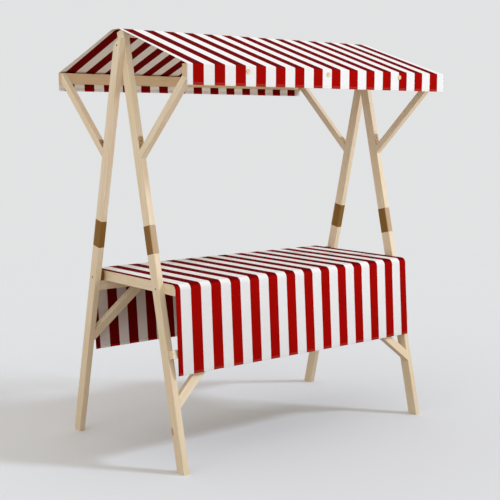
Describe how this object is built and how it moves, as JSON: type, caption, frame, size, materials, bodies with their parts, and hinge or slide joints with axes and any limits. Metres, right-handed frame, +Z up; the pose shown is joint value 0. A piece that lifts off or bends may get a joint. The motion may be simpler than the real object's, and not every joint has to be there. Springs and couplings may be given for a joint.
{
  "type": "market stall",
  "caption": "Wooden market stall with crossed leaning legs, a striped cloth gable canopy with valances and a counter draped in the same striped cloth.",
  "frame": {"origin": "on the ground, in the middle of the stall's width and depth", "axes": "+X along the counter, to the right as the customer sees it; -Y towards the customer; +Z up"},
  "size_m": [1.72, 1.175, 2.118],
  "materials": {
    "pale_wood": "planed pale softwood",
    "board_wood": "pale softwood boards",
    "tan_wood": "planed wood, slightly darker",
    "stained_wood": "brown stained wood",
    "striped_cloth": "woven cloth in red and white stripes"
  },
  "bodies": {
    "root": {"back_counter_rail": "pale_wood", "back_eave_rail": "pale_wood", "back_left_leg_lower": "pale_wood", "back_left_leg_upper": "pale_wood", "back_left_lower_brace": "pale_wood", "back_left_splice_block": "stained_wood", "back_left_splice_plate": "tan_wood", "back_left_upper_brace": "pale_wood", "back_right_leg_lower": "pale_wood", "back_right_leg_upper": "pale_wood", "back_right_lower_brace": "pale_wood", "back_right_splice_block": "stained_wood", "back_right_splice_plate": "tan_wood", "back_right_upper_brace": "pale_wood", "back_stretcher": "pale_wood", "canopy": "striped_cloth", "counter_board_1": "board_wood", "counter_board_2": "board_wood", "counter_board_3": "board_wood", "counter_board_4": "board_wood", "front_counter_rail": "pale_wood", "front_eave_rail": "pale_wood", "front_left_leg_lower": "pale_wood", "front_left_leg_upper": "pale_wood", "front_left_lower_brace": "pale_wood", "front_left_splice_block": "stained_wood", "front_left_splice_plate": "tan_wood", "front_left_upper_brace": "pale_wood", "front_right_leg_lower": "pale_wood", "front_right_leg_upper": "pale_wood", "front_right_lower_brace": "pale_wood", "front_right_splice_block": "stained_wood", "front_right_splice_plate": "tan_wood", "front_right_upper_brace": "pale_wood", "left_bearer": "pale_wood", "left_end_rail": "pale_wood", "left_spacer": "stained_wood", "low_front_rail": "pale_wood", "middle_bearer": "pale_wood", "ridge_rail": "pale_wood", "right_bearer": "pale_wood", "right_end_rail": "pale_wood", "right_spacer": "stained_wood", "tablecloth": "striped_cloth"}
  },
  "joints": []
}
